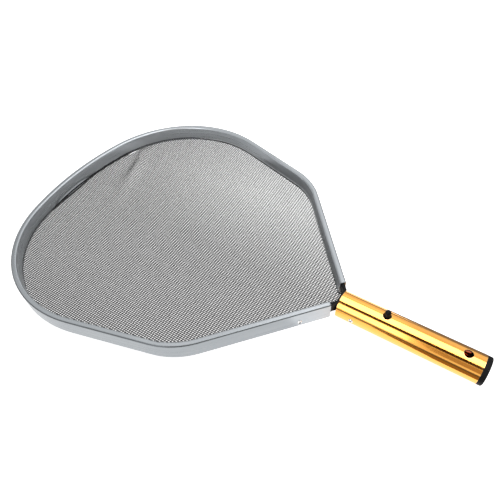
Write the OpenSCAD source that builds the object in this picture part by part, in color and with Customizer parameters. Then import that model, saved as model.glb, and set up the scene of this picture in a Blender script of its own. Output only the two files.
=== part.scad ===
// Leaf skimmer net head: a bent aluminium rim with a fine flat net, a moulded yoke and a
// handle tube that a pool pole slides over until two snap buttons lock it.
// Millimetres. +X runs out of the pole end of the handle, +Z up out of the open tray.
// The origin is the centre of the handle tube's pole end.

/* [Handle tube] */
// Length of the tube from the net end to the pole end
handle_len = 137; // [125:1:170]
// Outside diameter of the tube
handle_od = 28.5; // [27:0.1:32]
// Wall of the tube
handle_wall = 1.3; // [1:0.1:2]
// Distance from the pole end to the spare hole's axis
end_hole_station = 15; // [14:0.5:22]
// Diameter of the spare hole
end_hole_d = 8.5; // [6:0.1:9]

/* [Snap clip] */
// Distance from the tube's net end to the buttons' axis
button_station = 46.5; // [44:0.5:55]
// Diameter of a button
button_d = 6; // [5:0.1:6.5]
// Height that a button stands out of the tube
button_proud = 8; // [6:0.25:8.5]
// Diameter of the tube's button holes
button_hole_d = 8.5; // [8.3:0.1:9.5]
// Distance from the buttons' axis to the hinge line of the clip's bend
clip_arm_len = 53; // [48:1:56]
// Length of an arm's free end beyond the buttons' axis
clip_tail_len = 6.5; // [6:0.5:9]
// Thickness of the clip's strip
clip_t = 1.8; // [1.4:0.1:2]
// Width of the clip's strip
clip_w = 9; // [7:0.5:10]
// Radius of the bend, to the middle of the strip
clip_bend_r = 6; // [5:0.25:7]
// Diameter of the shoulder that keeps a button from falling out
shoulder_d = 10.4; // [10:0.1:11.5]
// Thickness of that shoulder above the strip
shoulder_t = 1; // [0.6:0.1:1.4]
// Gap between the shoulder's edge and the tube's inside at rest
shoulder_gap = 0.3; // [0.2:0.05:0.5]
// Gap between an arm's rounded root and the bend's end face
hinge_gap = 0.05; // [0.03:0.01:0.15]

/* [End cap] */
// Thickness of the flange that closes the pole end
cap_t = 5; // [3:0.5:8]
// Step from the tube's outside down to the flange's edge
cap_step = 0.15; // [0.05:0.05:0.6]
// Radius of the flange's outer edge
cap_edge_r = 1.6; // [0.5:0.1:2.5]
// Length of the plug inside the tube
cap_plug_len = 8; // [5:0.5:9]
// Wall of the hollow plug
cap_plug_wall = 2; // [1.5:0.1:3]

/* [Net outline] */
// Distance from the tube's net end to the front of the rim
net_len = 397; // [380:1:430]
// Greatest width over the rim
net_w = 357; // [345:1:375]
// Outside radius of the wide front edge
front_r = 324; // [300:1:360]
// Outside radius of the two front corners
corner_r = 134; // [110:1:145]
// Outside radius of the two shoulders
shoulder_r = 84; // [60:1:95]
// Angle between the handle and a back edge
back_angle = 50; // [46:0.5:54]
// Angle between the handle and a side edge
side_angle = 16.3; // [14:0.1:19]
// Distance from the tube's net end to the outer corners of the rim's two cut ends
rim_end_gap = 4; // [3:0.1:8]
// Width over the outer corners of the two cut ends
rim_end_spread = 33.4; // [31:0.1:38]

/* [Rim section] */
// Width of the extrusion
rim_w = 6.3; // [6:0.1:8]
// Height of the extrusion
rim_h = 20.4; // [19:0.1:24]
// Height of the rim's top edge above the handle's axis
rim_top = 14; // [12:0.5:16]
// Wall of the extrusion
rim_wall = 1.3; // [1:0.1:1.5]
// Radius of the top outer edge
top_outer_r = 1.2; // [0.5:0.1:1.4]
// Radius of the top inner edge
top_inner_r = 2.4; // [1.5:0.1:2.8]
// Radius of the two bottom edges
foot_r = 0.6; // [0.3:0.1:0.8]
// Corner radius of the hollow
hollow_r = 0.5; // [0.3:0.1:0.8]

/* [Net and spline] */
// Diameter of the groove that grips the net
groove_d = 2.8; // [2.6:0.1:3]
// Wall under the groove
groove_floor = 0.6; // [0.5:0.1:1]
// Wall between the groove and the hollow above it
groove_roof = 0.8; // [0.6:0.1:1.2]
// Distance from the rim's inner face to the groove's axis
groove_depth = 1.9; // [1.7:0.1:2.1]
// Height of the groove's mouth above the groove's axis
mouth_up = 1.1; // [1:0.05:1.2]
// Depth of the groove's mouth below the groove's axis
mouth_down = 0.8; // [0.6:0.05:1]
// Diameter of the retaining cord
spline_d = 1.7; // [1.4:0.1:1.8]
// Drop of the retaining cord's axis below the groove's axis
spline_drop = 0.45; // [0.4:0.05:0.5]
// Thickness of the net
net_t = 0.4; // [0.3:0.05:0.5]
// Gap between the net and the mouth's upper lip
net_lip_gap = 0.05; // [0.03:0.01:0.1]
// Distance that the net's edge runs past the groove's axis
net_tuck = 0.3; // [0.1:0.1:0.5]
// Distance from the tube's net end to the net's cut tip
net_tip_gap = 5; // [4.5:0.1:8]
// Distance between the net's strands
strand_pitch = 19.5; // [19:0.5:30]
// Width of a strand
strand_w = 1.6; // [1:0.1:3]
// Width of the net's solid hem, from its edge inwards
hem_w = 6; // [5:0.5:12]

/* [Yoke] */
// Length of the plug inside the handle tube
plug_len = 30; // [26:1:34]
// Radial clearance of that plug, and of the cap's plug
plug_clear = 0.1; // [0.05:0.05:0.3]
// Diameter of the plug's core hole
core_d = 13; // [8:0.5:15]
// Web between the core hole and the saddle
core_web = 6; // [4:0.5:10]
// Thickness of the saddle in front of the tube
saddle_t = 2.5; // [2:0.1:4]
// Height of the saddle's underside above the handle's axis
saddle_low = 1; // [-1:0.5:3]
// Drop of the saddle's top below the arms' tops
saddle_drop = 0.4; // [0.2:0.1:1]
// Length of a tongue inside the rim
tongue_len = 42; // [40:1:60]
// Clearance between a tongue and the rim's hollow
tongue_clear = 0.1; // [0.05:0.01:0.2]

/* [Fasteners] */
// Distance along the rim from its cut end to the frame screw
screw_station = 32.5; // [20:0.5:36]
// Height of the frame screw above the handle's axis
screw_z = -0.2; // [-0.4:0.1:6]
// Diameter of the frame screw's head
screw_head_d = 4.8; // [4:0.1:5.5]
// Height of the frame screw's head
screw_head_h = 1.1; // [0.8:0.1:1.5]
// Diameter of the flat top of that head
screw_top_d = 3.7; // [3:0.1:3.9]
// Diameter of the frame screw's shank
screw_d = 2.4; // [2:0.1:2.8]
// Length of the frame screw's shank
screw_len = 4.5; // [4:0.1:4.8]
// Length of a slot of the screw's cross recess
recess_len = 2.4; // [1.8:0.1:2.8]
// Width of that slot
recess_w = 0.7; // [0.5:0.1:0.9]
// Depth of the cross recess
recess_h = 0.7; // [0.4:0.1:0.75]
// Distance from the tube's net end to the tube rivets' axis
rivet_station = 17; // [12:0.5:20]
// Diameter of the rivet's head
rivet_head_d = 4.8; // [4:0.1:6]
// Height of the rivet's head
rivet_head_h = 0.9; // [0.6:0.1:1.2]
// Diameter of the flat top of that head
rivet_top_d = 3.4; // [2.8:0.1:3.8]
// Diameter of the rivet's shank
rivet_d = 3.2; // [2.8:0.1:3.6]
// Length of the rivet's shank
rivet_len = 6.5; // [5.5:0.1:6.8]
// Diameter of the hole that the rivet's mandrel leaves
mandrel_d = 1.5; // [1:0.1:1.8]
// Depth of that hole below the head's top
mandrel_depth = 4.2; // [2:0.1:5]
// Radial clearance round the screws' and rivets' shanks
shank_clear = 0.08; // [0.05:0.01:0.15]

/* [Hidden] */
$fn = 96;

// Extra reach of a cut past the face that it opens
cut = 1;
// Steps per arc on the net's outline
arc_steps = 10;
// Lap of a slimmer run into the next one, and how much slimmer it is on each face
lap_len = 0.3;
lap_inset = 0.02;

handle_r = handle_od / 2;
tube_ir = handle_r - handle_wall;
plug_r = tube_ir - plug_clear;
screw_bore_d = screw_d + 2 * shank_clear;
rivet_bore_d = rivet_d + 2 * shank_clear;

// The net's plan is drawn with +X forwards from the tube's net end, left half at +Y.
corner_c_y = net_w / 2 - corner_r;
front_c = [net_len - front_r, 0];
corner_c = [front_c.x + sqrt(pow(front_r - corner_r, 2) - pow(corner_c_y, 2)), corner_c_y];
front_half = atan2(corner_c.y, corner_c.x - front_c.x);

function along(a) = [cos(a), sin(a)];
function outward(a) = [-sin(a), cos(a)];

rim_end = [rim_end_gap, rim_end_spread / 2];
side_end = corner_c + outward(side_angle) * corner_r;
back_run = ((side_end - rim_end) * outward(side_angle)) / (along(back_angle) * outward(side_angle));
shoulder = rim_end + along(back_angle) * back_run;
shoulder_cut = shoulder_r * tan((back_angle - side_angle) / 2);
back_end = shoulder - along(back_angle) * shoulder_cut;
side_start = shoulder + along(side_angle) * shoulder_cut;
shoulder_c = back_end - outward(back_angle) * shoulder_r;
back_len = back_run - shoulder_cut;
side_len = norm(side_end - side_start);

rim_low = rim_top - rim_h;
groove_z = rim_low + groove_floor + groove_d / 2;
groove_w = rim_w - groove_depth;
hollow_low = groove_z + groove_d / 2 + groove_roof;
hollow_top = rim_top - rim_wall;
hollow_inner_r = top_inner_r - rim_wall;
net_high = groove_z + mouth_up - net_lip_gap;
net_edge_w = groove_w - net_tuck;

button_x = button_station - handle_len;
hinge_x = button_x + clip_arm_len;
shoulder_z = sqrt(pow(tube_ir, 2) - pow(shoulder_d / 2, 2)) - shoulder_gap;
arm_z = shoulder_z - shoulder_t;
button_top_z = handle_r + button_proud;
arm_slope = (arm_z - clip_t / 2 - clip_bend_r) / clip_arm_len;

// Moves what is drawn in the net's plan to its place in front of the tube.
module net_place() {
    translate([-handle_len, 0, 0]) rotate([0, 0, 180]) children();
}

// Sweeps a section along the rim: X is the distance in from the outer face, Y the height.
// $inset makes every second run slightly slimmer, so that it laps into its neighbours' insides.
module sweep_rim() {
    for (side = [0, 1]) mirror([0, side, 0]) {
        run_straight(back_end, back_angle, back_len, $inset = 0) children();
        run_arc(shoulder_c, shoulder_r, 90 + side_angle, 90 + back_angle, $inset = lap_inset) children();
        run_straight(side_end, side_angle, side_len, $inset = 0) children();
        run_arc(corner_c, corner_r, front_half, 90 + side_angle, $inset = lap_inset) children();
    }
    run_arc(front_c, front_r, -front_half, front_half, $inset = 0) children();
}

// A straight run that ends at point p and comes from the yoke's side.
module run_straight(p, angle, length) {
    translate([p.x, p.y, 0]) rotate([90, 0, angle - 90]) linear_extrude(length) children();
}

// A bend of outside radius r about centre c, lengthened by the lap where it is slimmer.
module run_arc(c, r, from, to) {
    lap = $inset > 0 ? lap_len / r * 180 / PI : 0;
    translate([c.x, c.y, 0]) rotate([0, 0, from - lap]) rotate_extrude(angle = to - from + 2 * lap)
        translate([r, 0]) mirror([1, 0]) children();
}

// A rectangle with a radius for each corner: top outer, top inner, bottom.
module round_rect(x0, x1, y0, y1, r_to, r_ti, r_b) {
    polygon([
        [x0 + r_b, y0], [x1 - r_b, y0], [x1, y0 + r_b], [x1, y1 - r_ti],
        [x1 - r_ti, y1], [x0 + r_to, y1], [x0, y1 - r_to], [x0, y0 + r_b],
    ]);
    translate([x0 + r_b, y0 + r_b]) circle(r_b);
    translate([x1 - r_b, y0 + r_b]) circle(r_b);
    translate([x1 - r_ti, y1 - r_ti]) circle(r_ti);
    translate([x0 + r_to, y1 - r_to]) circle(r_to);
}

// The extrusion: a hollow box with a net groove along the foot of its inner face.
module rim_section() {
    i = $inset;
    difference() {
        round_rect(i, rim_w - i, rim_low + i, rim_top - i, top_outer_r - i, top_inner_r - i, foot_r - i);
        round_rect(rim_wall - i, rim_w - rim_wall + i, hollow_low - i, hollow_top + i,
            hollow_r + i, hollow_inner_r + i, hollow_r + i);
        translate([groove_w, groove_z]) circle(d = groove_d + 2 * i);
        translate([groove_w, groove_z - mouth_down - i])
            square([groove_depth + cut, mouth_down + mouth_up + 2 * i]);
    }
}

// The net's outline, a given distance in from the rim's outer face.
function arc_points(c, r, from, to) =
    [for (i = [0:arc_steps]) c + r * along(from + (to - from) * i / arc_steps)];
function half_outline(w) = concat(
    [rim_line_at(net_tip_gap, w)],
    arc_points(shoulder_c, shoulder_r - w, 90 + back_angle, 90 + side_angle),
    arc_points(corner_c, corner_r - w, 90 + side_angle, front_half),
    arc_points(front_c, front_r - w, front_half * (1 - 1 / arc_steps), 0)
);
// The point at distance x from the tube on a line w in from the back edge's outer face.
function rim_line_at(x, w) =
    let (start = rim_end - outward(back_angle) * w)
    start + along(back_angle) * ((x - start.x) / cos(back_angle));
function flip(points) = [for (i = [len(points) - 2:-1:0]) [points[i].x, -points[i].y]];

module net_outline(w) {
    half = half_outline(w);
    polygon(concat(half, flip(half)));
}

// Turns a piece drawn along +Z to stand on the left back edge's outer face.
module on_left_screw() {
    p = rim_end + along(back_angle) * screw_station;
    translate([p.x, p.y, screw_z]) rotate([-90, 0, back_angle]) children();
}

module frame_screw() {
    difference() {
        union() {
            translate([0, 0, -screw_len]) cylinder(d = screw_d, h = screw_len);
            cylinder(d1 = screw_head_d, d2 = screw_top_d, h = screw_head_h);
        }
        for (a = [0, 90]) rotate([0, 0, a])
            translate([-recess_len / 2, -recess_w / 2, screw_head_h - recess_h])
                cube([recess_len, recess_w, recess_h + cut]);
    }
}

module tube_rivet() {
    difference() {
        union() {
            translate([0, 0, -rivet_len]) cylinder(d = rivet_d, h = rivet_len);
            cylinder(d1 = rivet_head_d, d2 = rivet_top_d, h = rivet_head_h);
        }
        translate([0, 0, rivet_head_h - mandrel_depth]) cylinder(d = mandrel_d, h = mandrel_depth + cut);
    }
}

// Turns a piece drawn along +Z to stand on the tube's left side.
module on_left_rivet() {
    translate([rivet_station - handle_len, handle_r, 0]) rotate([-90, 0, 0]) children();
}

module rim_frame() {
    color([0.62, 0.65, 0.68]) difference() {
        net_place() sweep_rim() rim_section();
        for (side = [0, 1]) mirror([0, side, 0]) net_place() mirror([0, 1, 0]) on_left_screw()
            translate([0, 0, -rim_wall - cut]) cylinder(d = screw_bore_d, h = rim_wall + 2 * cut);
    }
}

module net_mesh() {
    color([0.72, 0.73, 0.74]) net_place() translate([0, 0, net_high - net_t]) linear_extrude(net_t) {
        difference() {
            net_outline(net_edge_w);
            net_outline(net_edge_w + hem_w);
        }
        intersection() {
            net_outline(net_edge_w);
            union() {
                for (x = [net_tip_gap + strand_pitch:strand_pitch:net_len])
                    translate([x - strand_w / 2, -net_w / 2]) square([strand_w, net_w]);
                for (i = [-floor(net_w / 2 / strand_pitch):floor(net_w / 2 / strand_pitch)])
                    translate([0, i * strand_pitch - strand_w / 2]) square([net_len, strand_w]);
            }
        }
    }
}

module mesh_spline() {
    color([0.1, 0.1, 0.11]) net_place() sweep_rim()
        translate([groove_w, groove_z - spline_drop]) circle(d = spline_d - 2 * $inset);
}

// One arm of the yoke, from the saddle's plane into the rim's hollow.
module left_tongue() {
    w0 = rim_wall + tongue_clear;
    low = hollow_low + tongue_clear;
    high = hollow_top - tongue_clear;
    start = rim_end + along(back_angle) * tongue_len;
    reach = start.x / cos(back_angle) + rim_w * tan(back_angle);
    difference() {
        run_straight(start, back_angle, reach)
            round_rect(w0, rim_w - w0, low, high, hollow_r, hollow_inner_r, hollow_r);
        translate([-rim_end_spread, -rim_end_spread / 2, low - cut])
            cube([rim_end_spread, rim_end_spread * 2, high - low + 2 * cut]);
        translate([rim_end.x, rim_end.y, low - cut]) rotate([0, 0, back_angle + 180])
            cube([reach, rim_w + cut, saddle_low - low + cut]);
        on_left_screw() translate([0, 0, -rim_w - cut])
            cylinder(d = screw_bore_d, h = rim_w + 2 * cut);
    }
}

module yoke() {
    saddle_high = hollow_top - tongue_clear - saddle_drop;
    w0 = rim_wall + tongue_clear;
    // The saddle's ends stop inside the arms, between their outer and inner faces.
    arm_mid = (rim_line_at(0, w0).y + rim_line_at(saddle_t, rim_w - w0).y) / 2;
    color([0.07, 0.07, 0.075]) {
        translate([-handle_len - saddle_t, -arm_mid, saddle_low])
            cube([saddle_t, 2 * arm_mid, saddle_high - saddle_low]);
        for (side = [0, 1]) mirror([0, side, 0]) net_place() mirror([0, 1, 0]) left_tongue();
        difference() {
            translate([-handle_len, 0, 0]) rotate([0, 90, 0]) cylinder(r = plug_r, h = plug_len);
            translate([-handle_len + core_web, 0, 0]) rotate([0, 90, 0]) cylinder(d = core_d, h = plug_len);
            for (side = [0, 1]) mirror([0, side, 0]) on_left_rivet()
                translate([0, 0, -handle_r]) cylinder(d = rivet_bore_d, h = handle_r + cut);
        }
    }
}

module handle_tube() {
    color([0.93, 0.68, 0.22]) difference() {
        translate([-handle_len, 0, 0]) rotate([0, 90, 0]) cylinder(r = handle_r, h = handle_len);
        translate([-handle_len - cut, 0, 0]) rotate([0, 90, 0])
            cylinder(r = tube_ir, h = handle_len + 2 * cut);
        translate([button_x, 0, -handle_r - cut]) cylinder(d = button_hole_d, h = handle_od + 2 * cut);
        translate([-end_hole_station, 0, -handle_r - cut]) cylinder(d = end_hole_d, h = handle_od + 2 * cut);
        for (side = [0, 1]) mirror([0, side, 0]) on_left_rivet()
            translate([0, 0, -handle_wall - cut]) cylinder(d = rivet_bore_d, h = handle_wall + 2 * cut);
    }
}

module end_cap() {
    flange_r = handle_r - cap_step;
    color([0.06, 0.06, 0.065]) rotate([0, 90, 0]) {
        cylinder(r = flange_r, h = cap_t - cap_edge_r);
        cylinder(r = flange_r - cap_edge_r, h = cap_t);
        translate([0, 0, cap_t - cap_edge_r]) rotate_extrude()
            translate([flange_r - cap_edge_r, 0]) circle(cap_edge_r);
        difference() {
            translate([0, 0, -cap_plug_len]) cylinder(r = plug_r, h = cap_plug_len);
            translate([0, 0, -cap_plug_len - cut])
                cylinder(r = plug_r - cap_plug_wall, h = cap_plug_len + cut);
        }
    }
}

// The bend joins the two arms beyond the hinge lines.
module clip_bend() {
    face_x = hinge_x + clip_t / 2 + hinge_gap;
    color([0.08, 0.08, 0.085]) translate([face_x, clip_w / 2, 0]) rotate([90, 0, 0])
        rotate([0, 0, -90]) rotate_extrude(angle = 180)
            translate([clip_bend_r - clip_t / 2, 0]) square([clip_t, clip_w]);
}

// One arm of the clip with its button, drawn for the top of the tube.
module clip_arm() {
    tail_x = button_x - clip_tail_len;
    tail_z = arm_z - clip_t / 2 + arm_slope * clip_tail_len;
    half_t = clip_t / 2;
    translate([0, clip_w / 2, 0]) rotate([90, 0, 0]) linear_extrude(clip_w) {
        polygon([
            [hinge_x, clip_bend_r - half_t], [hinge_x, clip_bend_r + half_t],
            [tail_x, tail_z + half_t], [tail_x, tail_z - half_t],
        ]);
        translate([hinge_x, clip_bend_r]) circle(half_t);
    }
    translate([button_x, 0, arm_z - half_t]) cylinder(d = shoulder_d, h = shoulder_z - arm_z + half_t);
    translate([button_x, 0, arm_z]) cylinder(d = button_d, h = button_top_z - button_d / 2 - arm_z);
    translate([button_x, 0, button_top_z - button_d / 2]) sphere(d = button_d);
}

module snap_button_top() {
    color([0.08, 0.08, 0.085]) clip_arm();
}

module snap_button_bottom() {
    color([0.08, 0.08, 0.085]) mirror([0, 0, 1]) clip_arm();
}

module frame_screw_left() {
    color([0.8, 0.8, 0.8]) net_place() mirror([0, 1, 0]) on_left_screw() frame_screw();
}

module frame_screw_right() {
    color([0.8, 0.8, 0.8]) net_place() on_left_screw() frame_screw();
}

module tube_rivet_left() {
    color([0.85, 0.85, 0.85]) on_left_rivet() tube_rivet();
}

module tube_rivet_right() {
    color([0.85, 0.85, 0.85]) mirror([0, 1, 0]) on_left_rivet() tube_rivet();
}

rim_frame();
net_mesh();
mesh_spline();
yoke();
handle_tube();
end_cap();
clip_bend();
snap_button_top();
snap_button_bottom();
frame_screw_left();
frame_screw_right();
tube_rivet_left();
tube_rivet_right();
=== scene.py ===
from math import atan2, cos, pi, radians, sin, sqrt, tan

import bpy
import numpy as np
from mathutils import Matrix, Vector


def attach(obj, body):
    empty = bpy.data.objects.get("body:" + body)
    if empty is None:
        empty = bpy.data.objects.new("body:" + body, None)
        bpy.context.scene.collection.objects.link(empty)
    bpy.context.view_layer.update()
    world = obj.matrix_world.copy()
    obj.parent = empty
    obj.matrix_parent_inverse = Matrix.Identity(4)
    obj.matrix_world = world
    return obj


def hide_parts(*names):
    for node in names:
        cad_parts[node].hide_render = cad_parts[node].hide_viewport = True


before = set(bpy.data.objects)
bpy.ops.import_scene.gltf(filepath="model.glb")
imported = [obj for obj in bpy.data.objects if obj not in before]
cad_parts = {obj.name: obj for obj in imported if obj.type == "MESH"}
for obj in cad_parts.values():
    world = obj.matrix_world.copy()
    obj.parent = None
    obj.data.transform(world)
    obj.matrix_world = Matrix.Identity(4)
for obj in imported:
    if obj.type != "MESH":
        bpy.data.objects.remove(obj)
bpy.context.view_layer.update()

# ---------------------------------------------------------------- Camera
# The eye stands above the near side, a little in front of the pole end, and looks down across
# the net. The lens shift only sets the frame.
eye = Vector((-0.04806, -0.26561, 0.39640))
looked_at = Vector((-0.2690, 0.0, 0.0))
roll = radians(-6.88)

lens = bpy.data.cameras.new("camera")
lens.sensor_width = 36
lens.lens = 33.17
lens.shift_x = 0.0298
lens.shift_y = 0.0068
camera = bpy.data.objects.new("camera", lens)
bpy.context.scene.collection.objects.link(camera)
back = (eye - looked_at).normalized()
level = Vector((0, 0, 1)).cross(back).normalized()
over = back.cross(level)
right = level * cos(roll) + over * sin(roll)
up = over * cos(roll) - level * sin(roll)
camera.matrix_world = Matrix.Translation(eye) @ Matrix((right, up, back)).transposed().to_4x4()
bpy.context.scene.camera = camera
bpy.context.scene.view_settings.view_transform = "Standard"

# ---------------------------------------------------------------- Floor and studio light
# A white floor on which the skimmer lies on the front of its rim and the lower button, under two
# long soft boxes. Cards that only polished surfaces show stand between and beside the lamps, and
# lie on the floor beside the rim and the tube: painted reflections of light and shade.
rest_front = Vector((-0.5335, 0, -0.0064))
rest_button = Vector((-0.0905, 0, -0.02225))
floor_reach, floor_sides = 4.0, 64
paper_white, room_light = 0.80, 0.55
glow_near, glow_far = (-0.15, 0.70), (0.12, 1.0)  # place across, strength


def link_to_scene(name, mesh):
    piece = bpy.data.objects.new(name, mesh)
    bpy.context.scene.collection.objects.link(piece)
    return piece


def new_material(name):
    material = bpy.data.materials.new(name)
    material.use_nodes = True
    return material, material.node_tree.nodes, material.node_tree.links


def white_for_the_eye(nodes, links):
    """1 for rays that see, reflect or pass through, and 0 for rays that light other things."""
    rays = nodes.new("ShaderNodeLightPath")
    first = nodes.new("ShaderNodeMath")
    first.operation = "MAXIMUM"
    links.new(rays.outputs["Is Camera Ray"], first.inputs[0])
    links.new(rays.outputs["Is Glossy Ray"], first.inputs[1])
    both = nodes.new("ShaderNodeMath")
    both.operation = "MAXIMUM"
    links.new(first.outputs[0], both.inputs[0])
    links.new(rays.outputs["Is Transmission Ray"], both.inputs[1])
    return both.outputs[0]


def floor_finish():
    """Matt white paper. What the eye sees of it glows, more so toward the far side."""
    material, nodes, links = new_material("white_floor")
    nodes.remove(nodes["Principled BSDF"])
    paper = nodes.new("ShaderNodeBsdfDiffuse")
    paper.inputs["Color"].default_value = (paper_white, paper_white, paper_white, 1)
    place = nodes.new("ShaderNodeTexCoord")
    split = nodes.new("ShaderNodeSeparateXYZ")
    links.new(place.outputs["Object"], split.inputs[0])
    depth = nodes.new("ShaderNodeMapRange")
    links.new(split.outputs["Y"], depth.inputs["Value"])
    depth.inputs["From Min"].default_value, depth.inputs["To Min"].default_value = glow_near
    depth.inputs["From Max"].default_value, depth.inputs["To Max"].default_value = glow_far
    glow = nodes.new("ShaderNodeEmission")
    lift = nodes.new("ShaderNodeMath")
    lift.operation = "MULTIPLY"
    links.new(white_for_the_eye(nodes, links), lift.inputs[0])
    links.new(depth.outputs[0], lift.inputs[1])
    links.new(lift.outputs[0], glow.inputs["Strength"])
    both = nodes.new("ShaderNodeAddShader")
    links.new(paper.outputs[0], both.inputs[0])
    links.new(glow.outputs[0], both.inputs[1])
    links.new(both.outputs[0], nodes["Material Output"].inputs["Surface"])
    return material


def lay_floor():
    """A wide disc under the two points that the skimmer rests on."""
    slope = (rest_front.z - rest_button.z) / (rest_front.x - rest_button.x)
    turns = [2 * pi * i / floor_sides for i in range(floor_sides)]
    ring = [(floor_reach * cos(turn), floor_reach * sin(turn)) for turn in turns]
    verts = [(x, y, rest_button.z + slope * (x - rest_button.x)) for x, y in ring]
    mesh = bpy.data.meshes.new("floor")
    mesh.from_pydata(verts, [], [list(range(floor_sides))])
    floor = link_to_scene("floor", mesh)
    mesh.materials.append(floor_finish())


def hang_soft_box(name, centre, aim, wide, tall, watts):
    """A soft box of a width and height in metres, turned toward its aim."""
    light = bpy.data.lights.new(name, "AREA")
    light.shape = "RECTANGLE"
    light.size, light.size_y = wide, tall
    light.energy = watts
    box = link_to_scene(name, light)
    box.location = centre
    box.rotation_euler = (Vector(aim) - Vector(centre)).to_track_quat("-Z", "Y").to_euler()


def light_world():
    """A white room that lights things less than it shows."""
    world = bpy.data.worlds.new("studio")
    bpy.context.scene.world = world
    world.use_nodes = True
    nodes, links = world.node_tree.nodes, world.node_tree.links
    room = nodes["Background"]
    room.inputs["Color"].default_value = (1, 1, 1, 1)
    level_of = nodes.new("ShaderNodeMapRange")
    links.new(white_for_the_eye(nodes, links), level_of.inputs["Value"])
    level_of.inputs["To Min"].default_value = room_light
    level_of.inputs["To Max"].default_value = 1.0
    links.new(level_of.outputs[0], room.inputs["Strength"])


def stand_card(name, corners, tone, tint=(1, 1, 1)):
    """A flat card that only polished surfaces show. Its tone is 1 where the card is white."""
    mesh = bpy.data.meshes.new(name)
    mesh.from_pydata(corners, [], [list(range(len(corners)))])
    card = link_to_scene(name, mesh)
    material, nodes, links = new_material(name)
    nodes["Principled BSDF"].inputs["Base Color"].default_value = (0, 0, 0, 1)
    nodes["Principled BSDF"].inputs["Specular IOR Level"].default_value = 0
    nodes["Principled BSDF"].inputs["Emission Color"].default_value = (*tint, 1)
    nodes["Principled BSDF"].inputs["Emission Strength"].default_value = tone
    mesh.materials.append(material)
    card.visible_camera = card.visible_diffuse = False
    card.visible_transmission = card.visible_shadow = False


lay_floor()
light_world()
hang_soft_box("top_soft_box", (-0.135, 0.12, 1.2), (-0.135, 0.12, 0), 0.57, 0.98, 6.3)
hang_soft_box("front_soft_box", (-0.27, -1.066, 0.653), (-0.27, 0, 0), 0.30, 0.836, 2.4)

# Painted reflections: the dark gap between the soft boxes and the dim sides of the room, tinted
# warm on the gap and on the near side, and a bright card high at the back.
stand_card("gap_card", [
    (-0.36, -0.29, 0.95), (0.14, -0.29, 0.95), (0.14, -0.72, 0.95), (-0.36, -0.72, 0.95),
], 0.06, (1, 0.62, 0.35))
stand_card("side_card", [
    (-0.087, -0.68, 0.80), (0.6, -0.68, 0.80), (0.6, -1.05, 0.36), (-0.03, -1.05, 0.36),
], 0.47, (1, 0.82, 0.6))
stand_card("left_card", [
    (-0.98, -0.6, 0.5), (-0.98, 0.47, 0.5), (-2.1, 0.60, 0.5), (-2.1, -0.6, 0.5),
], 0.50)
stand_card("back_card", [
    (-0.9, 1.6, -0.1), (2.5, 1.6, -0.1), (2.5, 1.6, 0.34), (-0.9, 1.6, 0.34),
], 0.30)
stand_card("high_card", [
    (-1.5, 2.0, 1.45), (-0.2, 2.0, 1.45), (-0.2, 2.0, 3.0), (-1.5, 2.0, 3.0),
], 1.35)

# Painted reflections of shade on and just above the floor, beside the tube and the rim, and of
# light on the floor in front of the rim.
stand_card("low_card", [
    (-0.22, -0.30, 0.030), (0.16, -0.09, 0.012), (0.16, -0.09, -0.026), (-0.22, -0.30, -0.018),
], 0.15)
stand_card("near_card", [
    (-0.115, -0.13, -0.0212), (-0.08, -0.072, -0.0212), (-0.04, -0.047, -0.0212),
    (0.2, -0.042, -0.0212), (0.2, -0.2, -0.0212), (-0.115, -0.2, -0.0212),
], 0.32, (1, 0.68, 0.32))
stand_card("wall_card", [
    (-0.152, 0.024, -0.0125), (-0.205, 0.090, -0.0125), (-0.255, 0.142, -0.0125),
    (-0.305, 0.166, -0.0125), (-0.36, 0.165, -0.0125), (-0.21, 0.012, -0.0125),
], 0.42)
stand_card("front_card", [
    (-0.60, -0.10, -0.0036), (-0.50, -0.10, -0.0072), (-0.45, -0.14, -0.0090),
    (-0.36, -0.16, -0.0122), (-0.30, -0.15, -0.0144), (-0.16, -0.03, -0.0194),
    (-0.118, -0.13, -0.0209), (-0.118, -0.45, -0.0209), (-0.60, -0.45, -0.0036),
], 1.08)
stand_card("far_card", [
    (-0.10, 0.040, -0.0212), (0.3, 0.022, -0.0212), (0.3, 1.5, -0.0212), (-0.06, 1.5, -0.0212),
], 0.24)

# ---------------------------------------------------------------- Rim
# One length of aluminium extrusion, satin anodised and bent to a wide scoop, with a groove for
# the net at its foot. Its cut ends slide over the yoke's tongues and a screw holds each.
net_middle = (-0.33, 0, 0)
rim_rounding, groove_reach = 0.0018, 0.003


def rescale(nodes, links, source, low, high, to_low, to_high):
    """The source's range from low to high, stretched to another range and held inside it."""
    ranged = nodes.new("ShaderNodeMapRange")
    links.new(source, ranged.inputs["Value"])
    ranged.inputs["From Min"].default_value = low
    ranged.inputs["From Max"].default_value = high
    ranged.inputs["To Min"].default_value = to_low
    ranged.inputs["To Max"].default_value = to_high
    return ranged.outputs[0]


def spread(nodes, links, noise, low=0, high=1):
    """Noise, which mostly lies between 0.3 and 0.7, spread out from low to high."""
    return rescale(nodes, links, noise, 0.3, 0.7, low, high)


def combine(nodes, links, how, first, second):
    """One step of arithmetic on two numbers, held between 0 and 1."""
    made = nodes.new("ShaderNodeMath")
    made.operation = how
    made.use_clamp = True
    links.new(first, made.inputs[0])
    links.new(second, made.inputs[1])
    return made.outputs[0]


def vector_step(nodes, links, how, first, second, give="Vector"):
    """One step of vector arithmetic. It gives a Vector or a Value."""
    made = nodes.new("ShaderNodeVectorMath")
    made.operation = how
    links.new(first, made.inputs[0])
    if isinstance(second, tuple):
        made.inputs[1].default_value = second
    else:
        links.new(second, made.inputs[1])
    return made.outputs[give]


def own_place(nodes):
    """Where a point is on its piece, in metres."""
    return nodes.new("ShaderNodeTexCoord").outputs["Object"]


def height_on(nodes, links):
    split = nodes.new("ShaderNodeSeparateXYZ")
    links.new(own_place(nodes), split.inputs[0])
    return split.outputs["Z"]


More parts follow.
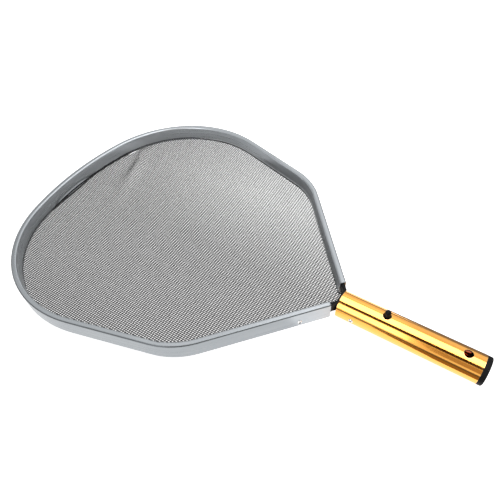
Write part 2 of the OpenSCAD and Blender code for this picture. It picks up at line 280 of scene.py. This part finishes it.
def rounded_normal(nodes, radius):
    """The way a surface faces, as if its edges were rounded off."""
    round_off = nodes.new("ShaderNodeBevel")
    round_off.samples = 6
    round_off.inputs["Radius"].default_value = radius
    return round_off.outputs[0]


def grain(nodes, links, per_metre, detail=2.0):
    """Noise that runs with the piece, so many cycles to a metre along X, Y and Z."""
    scaled = nodes.new("ShaderNodeMapping")
    scaled.inputs["Scale"].default_value = per_metre
    links.new(own_place(nodes), scaled.inputs["Vector"])
    noise = nodes.new("ShaderNodeTexNoise")
    noise.inputs["Scale"].default_value = 1.0
    noise.inputs["Detail"].default_value = detail
    links.new(scaled.outputs[0], noise.inputs["Vector"])
    return noise.outputs[0]


def two_tone(nodes, links, share, first, second):
    """The first colour where share is 0 and the second where it is 1."""
    mixed = nodes.new("ShaderNodeMix")
    mixed.data_type = "RGBA"
    links.new(share, mixed.inputs[0])
    first_colour, second_colour, mixed_colour = 6, 7, 2
    for socket, colour in [(first_colour, first), (second_colour, second)]:
        if isinstance(colour, tuple):
            mixed.inputs[socket].default_value = (*colour, 1)
        else:
            links.new(colour, mixed.inputs[socket])
    return mixed.outputs[mixed_colour]


def dent(nodes, links, height, depth):
    """Bump of a depth in metres."""
    bump = nodes.new("ShaderNodeBump")
    bump.inputs["Distance"].default_value = depth
    links.new(height, bump.inputs["Height"])
    links.new(bump.outputs[0], nodes["Principled BSDF"].inputs["Normal"])


def closed_in_at(nodes, links, reach, open_share, closed_share):
    """1 in grooves and recesses, 0 in the open."""
    around = nodes.new("ShaderNodeAmbientOcclusion")
    around.samples = 6
    around.only_local = True
    around.inputs["Distance"].default_value = reach
    return rescale(nodes, links, around.outputs["AO"], open_share, closed_share, 0, 1)


def anodise_rim():
    """Satin grey, with painted light on the inner wall, painted shade toward its foot and in the
    groove, and a painted dark reflection along the outer top edge.
    """
    material, nodes, links = new_material("satin_rim")
    shader = nodes["Principled BSDF"]
    shader.inputs["Metallic"].default_value = 1.0
    from_middle = vector_step(nodes, links, "SUBTRACT", own_place(nodes), net_middle)
    flat = vector_step(nodes, links, "MULTIPLY", from_middle, (1, 1, 0))
    outward = vector_step(nodes, links, "NORMALIZE", flat, (0, 0, 0))
    facing = rounded_normal(nodes, rim_rounding)
    lean = vector_step(nodes, links, "DOT_PRODUCT", outward, facing, "Value")
    rise = nodes.new("ShaderNodeSeparateXYZ")
    links.new(facing, rise.inputs[0])
    outward_and_up = combine(nodes, links, "MULTIPLY", lean, rise.outputs["Z"])
    # Painted reflection: a dark line along the outer top edge, where the rounding leans outward
    # and up.
    painted_dark_edge = rescale(nodes, links, outward_and_up, 0.07, 0.36, 0.0, 1.0)
    # Painted light: the inner wall is coloured lighter than the rest of the rim.
    inside = rescale(nodes, links, lean, -0.60, -0.98, 0.0, 1.0)
    # Painted shade: toward its foot the inner wall falls back to a darker grey.
    low_down = rescale(nodes, links, height_on(nodes, links), 0.010, -0.005, 0.0, 1.0)
    painted_foot_shade = combine(nodes, links, "MULTIPLY", inside, low_down)
    # Painted shade: the groove and the rim's other hollows are coloured near black.
    groove = closed_in_at(nodes, links, groove_reach, 0.68, 0.46)
    lines = grain(nodes, links, (9, 9, 1500), 3.0)
    cloud = grain(nodes, links, (28, 28, 60), 2.0)
    streak = spread(nodes, links, lines)
    tone = two_tone(nodes, links, streak, (0.385, 0.41, 0.43), (0.44, 0.465, 0.485))
    faded = rescale(nodes, links, cloud, 0.35, 0.75, 0, 0.35)
    tone = two_tone(nodes, links, faded, tone, (0.35, 0.37, 0.40))
    tone = two_tone(nodes, links, inside, tone, (0.57, 0.60, 0.63))
    tone = two_tone(nodes, links, painted_foot_shade, tone, (0.41, 0.43, 0.445))
    tone = two_tone(nodes, links, painted_dark_edge, tone, (0.10, 0.108, 0.115))
    tone = two_tone(nodes, links, groove, tone, (0.012, 0.012, 0.012))
    links.new(tone, shader.inputs["Base Color"])
    links.new(spread(nodes, links, lines, 0.26, 0.34), shader.inputs["Roughness"])
    dent(nodes, links, lines, 0.00002)
    return material


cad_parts["rim_frame"].data.materials[0] = anodise_rim()

# ---------------------------------------------------------------- Handle tube
# A drawn aluminium tube, bright-dipped and anodised gold outside. Its bore is coloured a darker
# red.
# Holes for the snap buttons and the rivets are drilled through its wall.
skin_inside, bore_radius = 0.0138, 0.0131
tube_edge_wear = 0.0005


def worn_edges(nodes, links, reach):
    """1 along the edges, fading to 0 at this reach from them."""
    flat = nodes.new("ShaderNodeNewGeometry").outputs["Normal"]
    match = vector_step(nodes, links, "DOT_PRODUCT", rounded_normal(nodes, reach), flat, "Value")
    return rescale(nodes, links, match, 1.0, 0.86, 0.0, 1.0)


def anodise_gold():
    """Bright gold with fine lines along the tube, pale at worn edges and darker red in the bore.
    """
    material, nodes, links = new_material("gold_anodised")
    shader = nodes["Principled BSDF"]
    shader.inputs["Metallic"].default_value = 1.0
    shader.inputs["Coat Weight"].default_value = 0.6
    shader.inputs["Coat Roughness"].default_value = 0.08
    drawn = grain(nodes, links, (5, 620, 620), 3.0)
    cloud = grain(nodes, links, (22, 90, 90), 2.0)
    streak = rescale(nodes, links, drawn, 0.32, 0.72, 0, 1)
    tone = two_tone(nodes, links, streak, (0.99, 0.48, 0.09), (0.90, 0.385, 0.06))
    deeper = rescale(nodes, links, cloud, 0.4, 0.8, 0, 0.5)
    tone = two_tone(nodes, links, deeper, tone, (0.93, 0.40, 0.055))
    worn = worn_edges(nodes, links, tube_edge_wear)
    tone = two_tone(nodes, links, worn, tone, (0.95, 0.70, 0.36))
    spoke = vector_step(nodes, links, "MULTIPLY", own_place(nodes), (0, 1, 1))
    from_axis = vector_step(nodes, links, "LENGTH", spoke, (0, 0, 0), "Value")
    bore = rescale(nodes, links, from_axis, skin_inside, bore_radius, 0, 1)
    tone = two_tone(nodes, links, bore, tone, (0.30, 0.065, 0.02))
    links.new(tone, shader.inputs["Base Color"])
    links.new(spread(nodes, links, drawn, 0.07, 0.15), shader.inputs["Roughness"])
    dent(nodes, links, drawn, 0.000012)
    return material


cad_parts["handle_tube"].data.materials[0] = anodise_gold()

# ---------------------------------------------------------------- Yoke
# A moulding of black glass-filled nylon. Its plug is riveted inside the tube, and its two tongues
# fill the cut ends of the rim.
moulded_edge_wear = 0.0004


def mould_black(name, dark, light, roughness):
    """A moulded skin with fine pores, clouded between two blacks and rubbed pale at its edges."""
    material, nodes, links = new_material(name)
    shader = nodes["Principled BSDF"]
    shader.inputs["Specular IOR Level"].default_value = 0.12
    pores = grain(nodes, links, (2600, 2600, 2600), 2.0)
    cloud = grain(nodes, links, (160, 160, 160), 2.0)
    tone = two_tone(nodes, links, spread(nodes, links, cloud), dark, light)
    worn = worn_edges(nodes, links, moulded_edge_wear)
    tone = two_tone(nodes, links, worn, tone, (0.018, 0.018, 0.019))
    links.new(tone, shader.inputs["Base Color"])
    links.new(spread(nodes, links, cloud, *roughness), shader.inputs["Roughness"])
    dent(nodes, links, pores, 0.00003)
    return material


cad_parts["yoke"].data.materials[0] = mould_black(
    "black_nylon", (0.003, 0.003, 0.0035), (0.007, 0.007, 0.0075), (0.38, 0.52))

# ---------------------------------------------------------------- End cap
# A stopper of soft black polyethylene. Its ribbed plug is pushed into the tube's open end, and
# its flange covers the cut edge.
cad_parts["end_cap"].data.materials[0] = mould_black(
    "black_polyethylene", (0.004, 0.004, 0.0045), (0.008, 0.008, 0.0085), (0.42, 0.56))

# ---------------------------------------------------------------- Snap clip
# A springy bent strip of black acetal that slides into the tube, with a button moulded on each
# end. Squeezed together, the buttons let go of the pole. Their tips are rubbed a little smoother.
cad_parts["clip_bend"].data.materials[0] = mould_black(
    "black_acetal", (0.003, 0.003, 0.0035), (0.007, 0.007, 0.0075), (0.36, 0.50))
for name in ["snap_button_top", "snap_button_bottom"]:
    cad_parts[name].data.materials[0] = mould_black(
        name + "_acetal", (0.003, 0.003, 0.0035), (0.006, 0.006, 0.0065), (0.32, 0.46))

# ---------------------------------------------------------------- Frame screws
# Steel screws with a cross recess, one through each end of the rim into the yoke's tongue. They
# are zinc plated, with painted shade in the recess and painted shade and dirt round the middle of
# the head.
screw_dark_reach, dark_fade = 0.0016, 0.0005
recess_reach, head_end_depth = 0.0015, 0.0001


def head_centre(piece):
    """The middle of the outer end of a screw or rivet."""
    points = np.array([v.co for v in piece.data.vertices])
    middle = (points.min(0) + points.max(0)) / 2
    axis = np.linalg.svd(points - points.mean(0))[2][0]
    if middle[1] * axis[1] < 0:
        axis = -axis
    along = points @ axis
    return tuple(float(v) for v in points[along > along.max() - head_end_depth].mean(0))


def plate_head(name, centre, dark_reach):
    """Bright metal, with painted shade in its recesses and painted shade and dirt round the middle
    of its head.
    """
    material, nodes, links = new_material(name)
    shader = nodes["Principled BSDF"]
    shader.inputs["Metallic"].default_value = 1.0
    spots = grain(nodes, links, (1400, 1400, 1400), 2.0)
    from_centre = vector_step(nodes, links, "DISTANCE", own_place(nodes), centre, "Value")
    worn = spread(nodes, links, spots)
    tone = two_tone(nodes, links, worn, (0.90, 0.90, 0.89), (0.78, 0.78, 0.78))
    # Painted shade: the recesses of the head are coloured near black.
    recess = closed_in_at(nodes, links, recess_reach, 0.85, 0.45)
    tone = two_tone(nodes, links, recess, tone, (0.03, 0.03, 0.03))
    # Painted shade and dirt: the middle of the head is coloured near black.
    middle = rescale(nodes, links, from_centre, dark_reach, dark_reach - dark_fade, 0, 1)
    tone = two_tone(nodes, links, middle, tone, (0.02, 0.02, 0.02))
    links.new(tone, shader.inputs["Base Color"])
    links.new(spread(nodes, links, spots, 0.18, 0.32), shader.inputs["Roughness"])
    dent(nodes, links, spots, 0.00001)
    return material


for name in ["frame_screw_left", "frame_screw_right"]:
    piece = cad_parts[name]
    piece.data.materials[0] = plate_head(name + "_zinc", head_centre(piece), screw_dark_reach)

# ---------------------------------------------------------------- Tube rivets
# Aluminium blind rivets through the tube's sides into the yoke's plug. Each shows the hole that
# its mandrel left.
# The rivets get the same painted shade and dirt round the mandrel's hole, and painted shade in
# their recesses.
rivet_dark_reach = 0.0014
for name in ["tube_rivet_left", "tube_rivet_right"]:
    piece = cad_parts[name]
    piece.data.materials[0] = plate_head(name + "_aluminium", head_centre(piece), rivet_dark_reach)

# ---------------------------------------------------------------- Edge tape
# A grey woven polyester tape that is stitched round the net's edge. It stands in the mouth of the
# rim's groove. Along part of the front, the cord and the tape have crept out, and it lies flat.
tube_end_x = -0.137
front_x = -0.45
rim_end = np.array([0.004, 0.0167])
back_turn, side_turn = radians(50), radians(16.3)
shoulder_bend, corner_bend, front_bend = 0.084, 0.134, 0.324
scoop_length, scoop_width = 0.397, 0.357
slack = 0.0032
slack_stretches = [(-0.070, 0.024, 0.03), (-0.066, 0.122, 0.05)]  # from, to, fade at each end
tape_mouth_inset, tape_wall_inset = 0.0061, 0.00645
tape_half_wide, tape_half_thick, tape_height = 0.00055, 0.00012, -0.0046
wall_begins, wall_ends = (-0.46, 0.05), (-0.150, 0.01)  # place along, length of the change
flat_from, flat_over, flat_drop, flat_shift = 0.0022, 0.0014, 0.0007, 0.0004
free_from, free_most, wall_rise = 0.0030, 0.0018, 0.0020


def heading(turn):
    return np.array([cos(turn), sin(turn)])


def beside(turn):
    return np.array([-sin(turn), cos(turn)])


def scoop_half(inset, start):
    """The left half of the rim's outline, this far inside it: shoulder, corner and front bend."""
    corner_y = scoop_width / 2 - corner_bend
    front_c = np.array([scoop_length - front_bend, 0])
    corner_forward = sqrt((front_bend - corner_bend) ** 2 - corner_y**2)
    corner_c = np.array([front_c[0] + corner_forward, corner_y])
    front_turn = atan2(corner_c[1], corner_c[0] - front_c[0])
    side_far = corner_c + beside(side_turn) * corner_bend
    run = ((side_far - rim_end) @ beside(side_turn)) / (heading(back_turn) @ beside(side_turn))
    cut_short = shoulder_bend * tan((back_turn - side_turn) / 2)
    back_far = rim_end + heading(back_turn) * (run - cut_short)
    shoulder_c = back_far - beside(back_turn) * shoulder_bend
    bends = [
        (shoulder_c, shoulder_bend, pi / 2 + back_turn, pi / 2 + side_turn, 12),
        (corner_c, corner_bend, pi / 2 + side_turn, front_turn, 40),
        (front_c, front_bend, front_turn, 0, 24),
    ]
    points = [start]
    for centre, bend, first, last, steps in bends:
        for i in range(steps + 1):
            points.append(centre + (bend - inset) * heading(first + (last - first) * i / steps))
    return np.array(points)


def to_frame(points):
    """Points measured forward from the tube's front end, put into the part's frame."""
    return np.column_stack([tube_end_x - points[:, 0], points[:, 1]])


def groove_line(inset):
    """A line round the whole scoop, this far inside the rim's outline."""
    start = rim_end - beside(back_turn) * inset
    left = scoop_half(inset, start)
    return to_frame(np.concatenate([left, left[-2::-1] * [1, -1]]))


def in_stretch(y, low, high, fade):
    """1 between two places across the scoop, fading to 0 toward them."""
    share = np.clip(np.minimum(y - low, high - y) / fade, 0, 1)
    return share * share * (3 - 2 * share)


def drawn_in(points, amount):
    """Points near the front, moved toward the middle of the front bend."""
    middle = to_frame(np.array([[scoop_length - front_bend, 0]]))
    way = middle - points
    way /= np.linalg.norm(way, axis=1)[:, None]
    return points + way * (amount * (points[:, 0] < front_x))[:, None]


def crept_out(y):
    """How far the cord has come out of the groove along the front, at each place across."""
    return sum(slack * in_stretch(y, *stretch) for stretch in slack_stretches)


def sweep(name, path, heights, ring_of):
    """A closed skin round a path. ring_of gives the section's corners, sideways and up."""
    step = np.gradient(path, axis=0)
    step /= np.linalg.norm(step, axis=1)[:, None]
    inward = np.column_stack([-step[:, 1], step[:, 0]])
    verts, corners = [], len(ring_of(0))
    for i, point in enumerate(path):
        for side, rise in ring_of(i):
            verts.append((*(point + inward[i] * side), heights[i] + rise))
    quads = []
    for base in range(0, (len(path) - 1) * corners, corners):
        for c in range(corners):
            d = (c + 1) % corners
            quads.append([base + c, base + d, base + corners + d, base + corners + c])
    last = (len(path) - 1) * corners
    mesh = bpy.data.meshes.new(name)
    ends = [list(range(corners))[::-1], [last + c for c in range(corners)]]
    mesh.from_pydata(verts, [], quads + ends)
    mesh.validate()
    mesh.shade_smooth()
    piece = link_to_scene(name, mesh)
    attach(piece, "root")
    return piece


def lay_tape():
    """The tape stands in the mouth of the groove, and lies flat where it has come out."""
    in_mouth, on_wall = groove_line(tape_mouth_inset), groove_line(tape_wall_inset)
    x = in_mouth[:, 0]
    past_front = (x - wall_begins[0]) / wall_begins[1]
    before_yoke = (wall_ends[0] - x) / wall_ends[1]
    turned_up = np.clip(np.minimum(past_front, before_yoke), 0, 1)
    path = in_mouth + (on_wall - in_mouth) * turned_up[:, None]
    out = crept_out(path[:, 1]) * (x < front_x)
    flat = np.clip((out - flat_from) / flat_over, 0, 1)
    free = np.clip((out - free_from) / 2, 0, free_most)

    def section(i):
        lean = pi / 2 * (1 - flat[i])
        wide, thin = max(tape_half_wide, free[i]), tape_half_thick
        along = (wide * cos(lean), wide * sin(lean))
        across = (-thin * sin(lean), thin * cos(lean))
        signs = [(1, 1), (-1, 1), (-1, -1), (1, -1)]
        return [(a * along[0] + b * across[0], a * along[1] + b * across[1]) for a, b in signs]

    heights = tape_height - flat_drop * flat + wall_rise * turned_up
    return sweep("edge_tape", drawn_in(path, flat * flat_shift + free), heights, section)


def weave_tape():
    material, nodes, links = new_material("grey_tape")
    shader = nodes["Principled BSDF"]
    shader.inputs["Roughness"].default_value = 0.7
    rib = grain(nodes, links, (2200, 2200, 900), 2.0)
    raised = spread(nodes, links, rib)
    tone = two_tone(nodes, links, raised, (0.50, 0.51, 0.52), (0.64, 0.65, 0.66))
    links.new(tone, shader.inputs["Base Color"])
    dent(nodes, links, rib, 0.00005)
    return material


tape = lay_tape()
tape.data.materials.append(weave_tape())

# ---------------------------------------------------------------- Spline cord
# A cord of solid black vinyl that is rolled into the rim's groove and jams the net there. It is
# caught all the way round: in the groove, or between the rim and the net for a hand's width at the
# front, where it has crept out of the groove.
cord_radius, cord_inset, cord_height = 0.00085, 0.0044, -0.00485
cord_sides = 10
lift_from, lift_over, cord_lift = 0.0028, 0.0016, 0.0016


def extrude_cord():
    path = groove_line(cord_inset)
    turns = [2 * pi * k / cord_sides for k in range(cord_sides)]
    ring = [(cord_radius * cos(turn), cord_radius * sin(turn)) for turn in turns]
    out = crept_out(path[:, 1]) * (path[:, 0] < front_x)
    heights = cord_height + cord_lift * np.clip((out - lift_from) / lift_over, 0, 1)
    return sweep("spline_cord", drawn_in(path, out), heights, lambda i: ring)


def tint_vinyl():
    material, nodes, links = new_material("black_vinyl")
    shader = nodes["Principled BSDF"]
    shader.inputs["Specular IOR Level"].default_value = 0.4
    skin = grain(nodes, links, (700, 700, 700), 2.0)
    worn = spread(nodes, links, skin)
    tone = two_tone(nodes, links, worn, (0.006, 0.006, 0.006), (0.016, 0.016, 0.017))
    links.new(tone, shader.inputs["Base Color"])
    links.new(spread(nodes, links, skin, 0.34, 0.5), shader.inputs["Roughness"])
    dent(nodes, links, skin, 0.00003)
    return material


cord = extrude_cord()
cord.data.materials.append(tint_vinyl())
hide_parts("mesh_spline")

# ---------------------------------------------------------------- Net
# Fine woven screen cloth of plastic-coated yarn, stretched flat across the scoop. Straight yarns
# run along the handle and crimped yarns cross over and under them. Its edge is pressed into the
# rim's groove. Where it has worked loose along the front, it lies in shallow folds.
net_edge_inset = 0.0041
net_tip = 0.005
net_height = -0.00366
straight_wide, crimped_wide, yarn_thick = 0.00105, 0.00082, 0.00024
straight_gap, crimped_gap = 0.00205, 0.0030
# Yarns are thinned toward the back on the left so the net looks lighter there, in place of a
# sheen.
thinned_by, thinned_from_x, thinned_over = 0.30, -0.52, (0.22, 0.10)
cloth_turn = radians(-3)
shortest_yarn, end_gap = 0.004, 0.0003
fold_reach, fold_step, plain_step = 0.07, 0.0035, 0.013
net_past_cord = 0.0014
sag_depth, ripple, ripple_along, ripple_across = 0.0012, 0.00012, 0.016, 0.031
fold_turn, fold_width, ridge_ahead = radians(21), 0.009, 0.016
folds = [  # place along and across, reach, depth of the valley, height of the ridge beside it
    (-0.4985, 0.064, 0.042, 0.0034, 0.0046),
    (-0.515, 0.090, 0.014, 0.0012, 0.0018),
]


def on_back_line(inset, forward):
    """The point of the back edge's line that is this far forward of the tube's front end."""
    start = rim_end - beside(back_turn) * inset
    return start + heading(back_turn) * (forward - start[0]) / cos(back_turn)


def closed_outline(inset):
    """The net's whole outline, cut off square at the yoke."""
    left = scoop_half(inset, on_back_line(inset, net_tip))
    right = left[::-1] * [1, -1]
    return to_frame(np.concatenate([left, right[1:]]))


def cut_by(outline, across):
    """The two ends of a line along the outline, at this place across."""
    a, b = outline, np.roll(outline, -1, axis=0)
    hit = (a[:, 1] - across) * (b[:, 1] - across) < 0
    share = (across - a[hit, 1]) / (b[hit, 1] - a[hit, 1])
    ends = a[hit, 0] + share * (b[hit, 0] - a[hit, 0])
    return (ends.min(), ends.max()) if len(ends) > 1 else (0, 0)


def half_width_at(x):
    """Half the net's width at each place along."""
    left = to_frame(scoop_half(net_edge_inset, on_back_line(net_edge_inset, net_tip)))[::-1]
    return np.interp(x, left[:, 0], left[:, 1])


def net_lie(x, y):
    """Height of the cloth: a slight sag, and the folds along the loose front edge."""
    across = np.clip(np.abs(y) / half_width_at(x), 0, 1)
    forward = np.clip((tube_end_x - x) / scoop_length, 0, 1)
    sag = -sag_depth * (1 - across**2) * (1 - (2 * forward - 1) ** 2)
    wave = ripple * np.sin(x / ripple_along + y / ripple_across) * (1 - across**4)
    fold = np.zeros_like(x)
    for fold_x, fold_y, reach, dip, rise in folds:
        ahead = (x - fold_x) * cos(fold_turn) + (y - fold_y) * sin(fold_turn)
        aside = (y - fold_y) * cos(fold_turn) - (x - fold_x) * sin(fold_turn)
        along = np.exp(-((aside / reach) ** 2))
        fold = fold - dip * np.exp(-((ahead / fold_width) ** 2)) * along
        fold = fold + rise * np.exp(-(((ahead - ridge_ahead) / fold_width) ** 2)) * along
    return net_height + sag + wave + fold


def thinned_for_sheen(x, y):
    """The share of their width that yarns keep. Thinner yarns toward the back on the left let more
    floor show through, so the net looks lighter there in place of a sheen.
    """
    backward = np.clip((x - thinned_from_x) / thinned_over[0], 0, 1)
    leftward = np.clip(y / thinned_over[1], 0, 1)
    return 1 - thinned_by * backward * leftward


def add_yarn(points, heights, wide, thick, verts, faces):
    """A flat yarn along points, four corners round it at each, closed at both ends."""
    step = np.gradient(points, axis=0)
    step /= np.linalg.norm(step, axis=1)[:, None]
    half = wide / 2 * thinned_for_sheen(points[:, 0], points[:, 1])
    side = np.column_stack([-step[:, 1], step[:, 0]]) * half[:, None]
    first = sum(len(v) for v in verts)
    ring = np.empty((len(points), 4, 3))
    for corner, (s, h) in enumerate([(1, 1), (-1, 1), (-1, -1), (1, -1)]):
        ring[:, corner, :2] = points + s * side
        ring[:, corner, 2] = heights + h * thick / 2
    verts.append(ring.reshape(-1, 3))
    base = first + 4 * np.arange(len(points) - 1)
    for corner in range(4):
        after = (corner + 1) % 4
        quad = [base + corner, base + 4 + corner, base + 4 + after, base + after]
        faces.append(np.column_stack(quad))
    last = first + 4 * (len(points) - 1)
    faces.append(np.array([[first, first + 1, first + 2, first + 3]]))
    faces.append(np.array([[last + 3, last + 2, last + 1, last]]))


def mesh_from(name, verts, faces):
    """A mesh from arrays of points and of four-cornered faces."""
    verts, faces = np.concatenate(verts), np.concatenate(faces)
    mesh = bpy.data.meshes.new(name)
    mesh.vertices.add(len(verts))
    mesh.vertices.foreach_set("co", verts.astype(np.float32).ravel())
    mesh.loops.add(faces.size)
    mesh.loops.foreach_set("vertex_index", faces.astype(np.int32).ravel())
    mesh.polygons.add(len(faces))
    starts = np.arange(0, faces.size, faces.shape[1], dtype=np.int32)
    mesh.polygons.foreach_set("loop_start", starts)
    mesh.update(calc_edges=True)
    mesh.validate()
    mesh.shade_smooth()
    return mesh


def weave_net():
    """Straight yarns first, then crimped yarns that pass over one and under the next."""
    turn = np.array([[cos(cloth_turn), -sin(cloth_turn)], [sin(cloth_turn), cos(cloth_turn)]])
    outline = closed_outline(net_edge_inset)
    out = crept_out(outline[:, 1])
    outline = drawn_in(outline, out + np.minimum(out, net_past_cord)) @ turn.T
    verts, faces = [], []
    low, high = outline.min(0), outline.max(0)
    for k in range(int(low[1] / straight_gap), int(high[1] / straight_gap) + 1):
        y = k * straight_gap
        x0, x1 = cut_by(outline, y)
        if x1 - x0 < shortest_yarn:
            continue
        folded = np.arange(x0, min(x0 + fold_reach, x1), fold_step)
        plain = np.arange(x1, x0, -plain_step)
        xs = np.unique(np.concatenate([folded, plain]).round(4))
        points = np.column_stack([xs, np.full_like(xs, y)]) @ turn
        heights = net_lie(points[:, 0], points[:, 1])
        add_yarn(points, heights, straight_wide, yarn_thick, verts, faces)
    upright = outline[:, ::-1]
    for k in range(int(low[0] / crimped_gap), int(high[0] / crimped_gap) + 1):
        x = k * crimped_gap
        y0, y1 = cut_by(upright, x)
        if y1 - y0 < shortest_yarn:
            continue
        first, last = int(np.ceil(y0 / straight_gap)), int(np.floor(y1 / straight_gap))
        steps = np.arange(first, last + 1)
        ys = steps * straight_gap
        over = np.where((steps + k) % 2 == 0, yarn_thick, -yarn_thick)
        if ys[0] - y0 > end_gap:
            ys, over = np.append(y0, ys), np.append(0, over)
        if y1 - ys[-1] > end_gap:
            ys, over = np.append(ys, y1), np.append(over, 0)
        points = np.column_stack([np.full_like(ys, x), ys]) @ turn
        heights = net_lie(points[:, 0], points[:, 1]) + over
        add_yarn(points, heights, crimped_wide, yarn_thick, verts, faces)
    return mesh_from("net", verts, faces)


def colour_yarn():
    material, nodes, links = new_material("coated_yarn")
    shader = nodes["Principled BSDF"]
    shader.inputs["Specular IOR Level"].default_value = 0.6
    patch = grain(nodes, links, (45, 45, 45), 2.0)
    strand = grain(nodes, links, (900, 900, 900), 2.0)
    faded = spread(nodes, links, patch)
    tone = two_tone(nodes, links, faded, (0.018, 0.018, 0.019), (0.034, 0.034, 0.036))
    links.new(tone, shader.inputs["Base Color"])
    links.new(spread(nodes, links, strand, 0.28, 0.46), shader.inputs["Roughness"])
    dent(nodes, links, strand, 0.00002)
    return material


net = link_to_scene("net", weave_net())
net.data.materials.append(colour_yarn())
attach(net, "root")
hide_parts("net_mesh")
